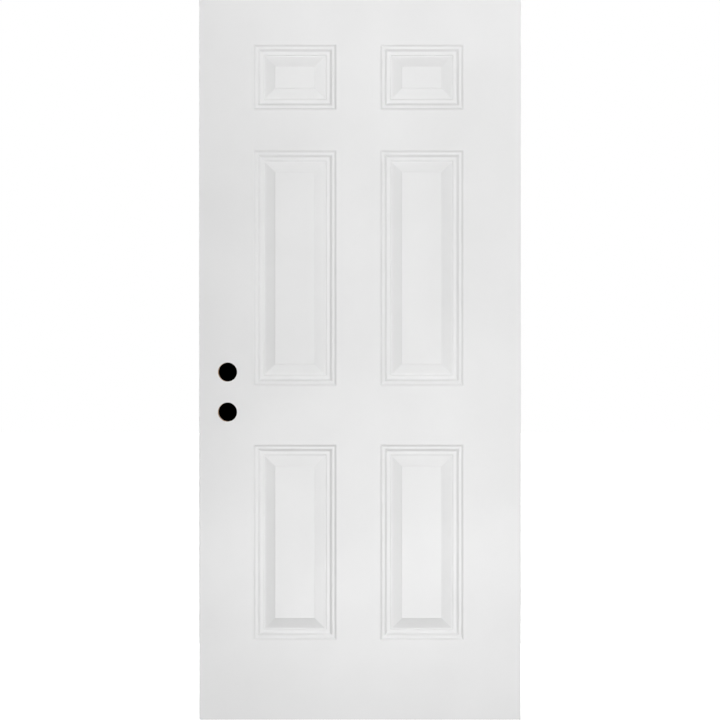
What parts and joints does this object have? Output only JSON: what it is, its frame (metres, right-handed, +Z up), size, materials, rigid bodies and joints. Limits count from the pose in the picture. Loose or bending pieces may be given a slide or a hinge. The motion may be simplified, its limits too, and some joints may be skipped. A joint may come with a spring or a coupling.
{
  "type": "panelled front door leaf",
  "caption": "Insulated front door leaf with raised panels pressed in both steel faces, a wood edge frame, bores for a lock and a bolt in the lock stile, and seats for butt hinges.",
  "frame": {"origin": "bottom edge of the leaf, middle of its width and of its thickness", "axes": "+Z up; the exterior face looks towards -Y; the lock edge is at -X and the hinge edge at +X"},
  "size_m": [0.908, 0.0444, 2.032],
  "materials": {
    "skin_paint": "satin white primer-paint over pressed steel",
    "stile_pine": "bare finger-jointed pine, planed",
    "rail_pine": "bare pine, planed",
    "bottom_rail_composite": "pressed wood-fibre composite, sanded",
    "block_wood": "laminated veneer, sawn",
    "foam": "rigid foam, matte",
    "fastener_steel": "zinc-plated"
  },
  "bodies": {
    "root": {"exterior_skin": "skin_paint", "interior_skin": "skin_paint", "lock_stile": "stile_pine", "hinge_stile": "stile_pine", "top_rail": "rail_pine", "bottom_rail": "bottom_rail_composite", "lock_block": "block_wood", "foam_core": "foam", "corrugated_fasteners": "fastener_steel"}
  },
  "joints": []
}
